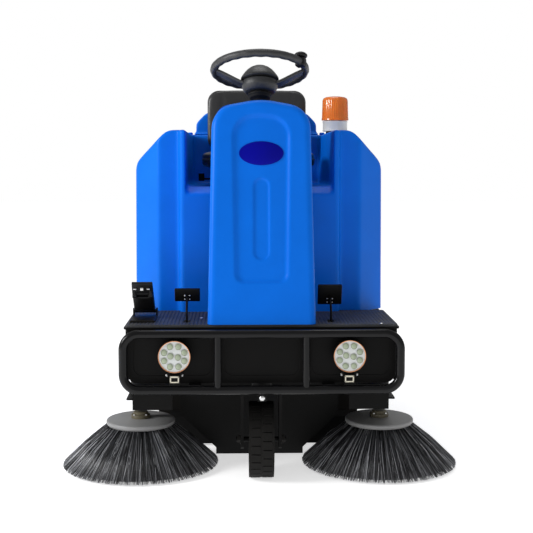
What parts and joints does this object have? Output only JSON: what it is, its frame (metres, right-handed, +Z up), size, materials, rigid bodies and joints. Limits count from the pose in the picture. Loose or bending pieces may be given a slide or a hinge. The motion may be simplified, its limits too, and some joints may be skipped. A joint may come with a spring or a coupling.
{
  "type": "ride on sweeper",
  "caption": "Ride-on floor sweeper: seated rider behind a leaning steering column, side brushes at the front, roller brush and slide-out rear hopper.",
  "frame": {"origin": "on the ground, at the centre of the footprint", "axes": "+Z up, the machine's front faces -Y, +X is the rider's left"},
  "size_m": [1.4, 1.6, 1.4573],
  "materials": {
    "blue_plastic": "glossy rotomoulded blue",
    "black_steel": "satin black powder coat",
    "bumper_paint": "gloss black powder coat",
    "dark_steel": "dark grey coated steel",
    "cream_steel": "cream coated steel",
    "rim_paint": "dark grey painted steel",
    "light_housing": "black anodised housing, bright reflector",
    "black_plastic": "grained black",
    "rubber": "matt black",
    "tyre": "matt black tread",
    "vinyl": "glossy black vinyl",
    "grey_plastic": "mid grey moulded",
    "bristle": "black polypropylene bristle",
    "steel": "bright steel",
    "amber": "translucent amber, ribbed",
    "pale_plastic": "pale grey",
    "red_plastic": "red",
    "filter_paper": "pleated paper"
  },
  "bodies": {
    "chassis": {"chassis_frame": "black_steel", "front_panel": "black_steel", "front_bumper": "bumper_paint", "platform_plate": "black_steel", "floor_mat": "rubber", "column_front_cover": "blue_plastic", "column_rear_cover": "blue_plastic", "dashboard_panel": "black_plastic", "steering_gearbox": "dark_steel", "steering_boot": "rubber", "body_shell": "blue_plastic", "brush_housing": "dark_steel", "main_brush_motor": "dark_steel", "battery_pack": "black_plastic", "motor_controller": "dark_steel", "dust_filter": "filter_paper", "beacon_base": "pale_plastic", "beacon_lens": "amber", "accelerator_base": "dark_steel", "seat_rails": "black_steel", "lower_skirt_left": "black_steel", "lower_skirt_right": "black_steel", "drive_motor_left": "dark_steel", "drive_motor_right": "dark_steel", "led_bracket_left": "cream_steel", "led_bracket_right": "cream_steel"},
    "steering": {"steering_wheel": "black_plastic", "steering_shaft": "steel"},
    "horn": {"horn_button": "black_plastic"},
    "spinner": {"spinner_knob": "black_plastic"},
    "fork": {"front_fork": "black_steel"},
    "front_wheel": {"front_tyre": "tyre", "front_rim": "rim_paint"},
    "rear_wheel_left": {"rear_tyre_left": "tyre", "rear_rim_left": "rim_paint"},
    "rear_wheel_right": {"rear_tyre_right": "tyre", "rear_rim_right": "rim_paint"},
    "roller": {"main_brush": "bristle"},
    "flap": {"front_flap": "rubber"},
    "hood": {"rear_hood": "blue_plastic"},
    "seat": {"seat_cushion": "vinyl", "seat_back": "vinyl", "seat_pan": "black_steel"},
    "seat_latch": {"seat_lever": "black_steel"},
    "dust_hopper": {"hopper": "black_steel"},
    "accelerator": {"accelerator_pedal": "black_plastic"},
    "brake": {"brake_pedal": "black_steel"},
    "flap_lifter": {"flap_pedal": "black_steel"},
    "key": {"key_switch": "steel"},
    "stop_button": {"emergency_stop": "red_plastic"},
    "arm_left": {"side_brush_arm_left": "black_steel", "side_brush_motor_left": "dark_steel"},
    "arm_right": {"side_brush_arm_right": "black_steel", "side_brush_motor_right": "dark_steel"},
    "side_brush_left": {"side_brush_disc_left": "grey_plastic", "side_brush_bristles_left": "bristle"},
    "side_brush_right": {"side_brush_disc_right": "grey_plastic", "side_brush_bristles_right": "bristle"},
    "light_left": {"led_light_left": "light_housing"},
    "light_right": {"led_light_right": "light_housing"}
  },
  "joints": [
    {"name": "fork_steer", "type": "hinge", "parent": "chassis", "child": "fork", "pos_m": [0, -0.68, 0.45], "axis": [0, 0, 1], "range_deg": [-60, 60]},
    {"name": "steering_turn", "type": "hinge", "parent": "chassis", "child": "steering", "pos_m": [0, -0.42, 1.398], "axis": [0, 0.284, 0.9588], "range_deg": [-150, 150]},
    {"name": "horn_press", "type": "slide", "parent": "steering", "child": "horn", "axis": [0, -0.284, -0.9588], "range_m": [0, 0.004], "stiffness_N_per_m": 2500, "springref_m": -0.001},
    {"name": "spinner_turn", "type": "hinge", "parent": "steering", "child": "spinner", "pos_m": [0.13994, -0.49438, 1.42003], "axis": [0, 0.284, 0.9588], "continuous": true},
    {"name": "front_wheel_roll", "type": "hinge", "parent": "fork", "child": "front_wheel", "pos_m": [0, -0.625, 0.13], "axis": [1, 0, 0], "continuous": true},
    {"name": "rear_wheel_roll_left", "type": "hinge", "parent": "chassis", "child": "rear_wheel_left", "pos_m": [0.4065, 0.45, 0.15], "axis": [1, 0, 0], "continuous": true},
    {"name": "rear_wheel_roll_right", "type": "hinge", "parent": "chassis", "child": "rear_wheel_right", "pos_m": [-0.4065, 0.45, 0.15], "axis": [1, 0, 0], "continuous": true},
    {"name": "roller_spin", "type": "hinge", "parent": "chassis", "child": "roller", "pos_m": [0, 0.05, 0.144], "axis": [1, 0, 0], "continuous": true},
    {"name": "flap_lift", "type": "hinge", "parent": "chassis", "child": "flap", "pos_m": [0, -0.34, 0.305], "axis": [1, 0, 0], "range_deg": [0, 20]},
    {"name": "flap_pedal_press", "type": "hinge", "parent": "chassis", "child": "flap_lifter", "pos_m": [0.234, -0.67, 0.5], "axis": [1, 0, 0], "range_deg": [0, 15], "stiffness_Nm_per_rad": 1.5, "springref_deg": -17.19},
    {"name": "brake_press", "type": "hinge", "parent": "chassis", "child": "brake", "pos_m": [-0.25, -0.67, 0.5], "axis": [1, 0, 0], "range_deg": [0, 12], "stiffness_Nm_per_rad": 6, "springref_deg": -8.59},
    {"name": "accelerator_press", "type": "hinge", "parent": "chassis", "child": "accelerator", "pos_m": [-0.397, -0.56, 0.566], "axis": [1, 0, 0], "range_deg": [0, 18], "stiffness_Nm_per_rad": 4, "springref_deg": -11.46},
    {"name": "arm_lift_left", "type": "hinge", "parent": "chassis", "child": "arm_left", "pos_m": [0.39, -0.275, 0.272], "axis": [-1, 0, 0], "range_deg": [0, 8]},
    {"name": "arm_lift_right", "type": "hinge", "parent": "chassis", "child": "arm_right", "pos_m": [-0.39, -0.275, 0.272], "axis": [-1, 0, 0], "range_deg": [0, 8]},
    {"name": "side_brush_spin_left", "type": "hinge", "parent": "arm_left", "child": "side_brush_left", "pos_m": [0.424, -0.48, 0.17], "axis": [0, -0.0262, 0.9997], "continuous": true},
    {"name": "side_brush_spin_right", "type": "hinge", "parent": "arm_right", "child": "side_brush_right", "pos_m": [-0.424, -0.48, 0.17], "axis": [0, -0.0262, 0.9997], "continuous": true},
    {"name": "hood_open", "type": "hinge", "parent": "chassis", "child": "hood", "pos_m": [0, 0.712, 1.192], "axis": [-1, 0, 0], "range_deg": [0, 70]},
    {"name": "seat_adjust", "type": "slide", "parent": "chassis", "child": "seat", "axis": [0, 1, 0], "range_m": [-0.08, 0.02]},
    {"name": "seat_lever_lift", "type": "hinge", "parent": "seat", "child": "seat_latch", "pos_m": [-0.142, -0.181, 1.0155], "axis": [0, 1, 0], "range_deg": [0, 8], "stiffness_Nm_per_rad": 0.6, "springref_deg": -17.19},
    {"name": "hopper_pull", "type": "slide", "parent": "chassis", "child": "dust_hopper", "axis": [0, 1, 0], "range_m": [0, 0.4]},
    {"name": "light_tilt_left", "type": "hinge", "parent": "chassis", "child": "light_left", "pos_m": [0.286, -0.78, 0.382], "axis": [1, 0, 0], "range_deg": [-8, 8]},
    {"name": "light_tilt_right", "type": "hinge", "parent": "chassis", "child": "light_right", "pos_m": [-0.286, -0.78, 0.382], "axis": [1, 0, 0], "range_deg": [-8, 8]},
    {"name": "key_turn", "type": "hinge", "parent": "chassis", "child": "key", "pos_m": [-0.095, -0.3844, 1.21638], "axis": [0, 0.4664, 0.8846], "range_deg": [0, 90]},
    {"name": "stop_press", "type": "slide", "parent": "chassis", "child": "stop_button", "axis": [0, -0.4664, -0.8846], "range_m": [0, 0.006]}
  ],
  "couplings": [
    {"joint": "steering_turn", "follows": "fork_steer", "ratio": 2.5},
    {"joint": "flap_pedal_press", "follows": "flap_lift", "ratio": 0.75}
  ]
}
